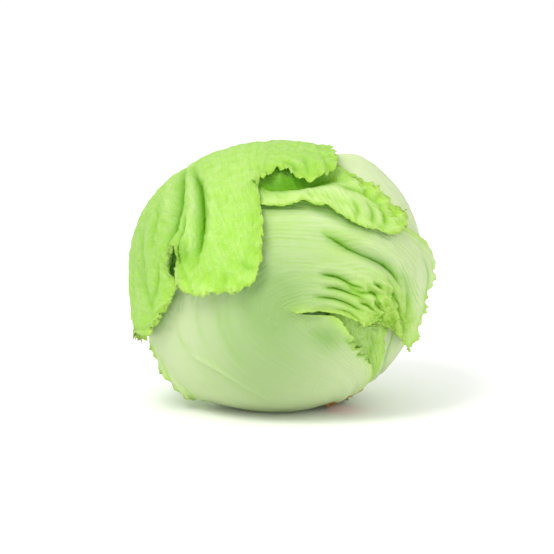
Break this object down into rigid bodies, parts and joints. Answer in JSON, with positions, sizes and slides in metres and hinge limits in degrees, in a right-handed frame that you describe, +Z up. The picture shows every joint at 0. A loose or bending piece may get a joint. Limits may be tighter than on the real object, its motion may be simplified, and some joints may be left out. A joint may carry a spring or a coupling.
{
  "type": "head of lettuce",
  "caption": "Round head of iceberg lettuce with frilled wrapper leaves laid over each other round a dense heart, lying with its cut stem low at one side.",
  "frame": {"origin": "on the surface that the head rests on, under the middle of its box", "axes": "+X along the head's longest way, to the right as seen from the front; +Z up; -Y to the front, where the pale leaf's swirl shows"},
  "size_m": [0.1714, 0.1664, 0.1483],
  "materials": {
    "stem": "cut plant tissue, browned, dull",
    "heart": "fresh leaf, pale, waxy",
    "pale_leaf": "fresh leaf, pale green with white ribs, waxy",
    "green_leaf": "fresh leaf, bright green, waxy"
  },
  "bodies": {
    "root": {"stem": "stem", "heart": "heart", "leaf_right": "pale_leaf", "leaf_inner": "green_leaf", "leaf_left": "pale_leaf", "leaf_back": "green_leaf", "leaf_front": "pale_leaf", "leaf_shoulder": "green_leaf", "leaf_cap": "green_leaf"}
  },
  "joints": []
}
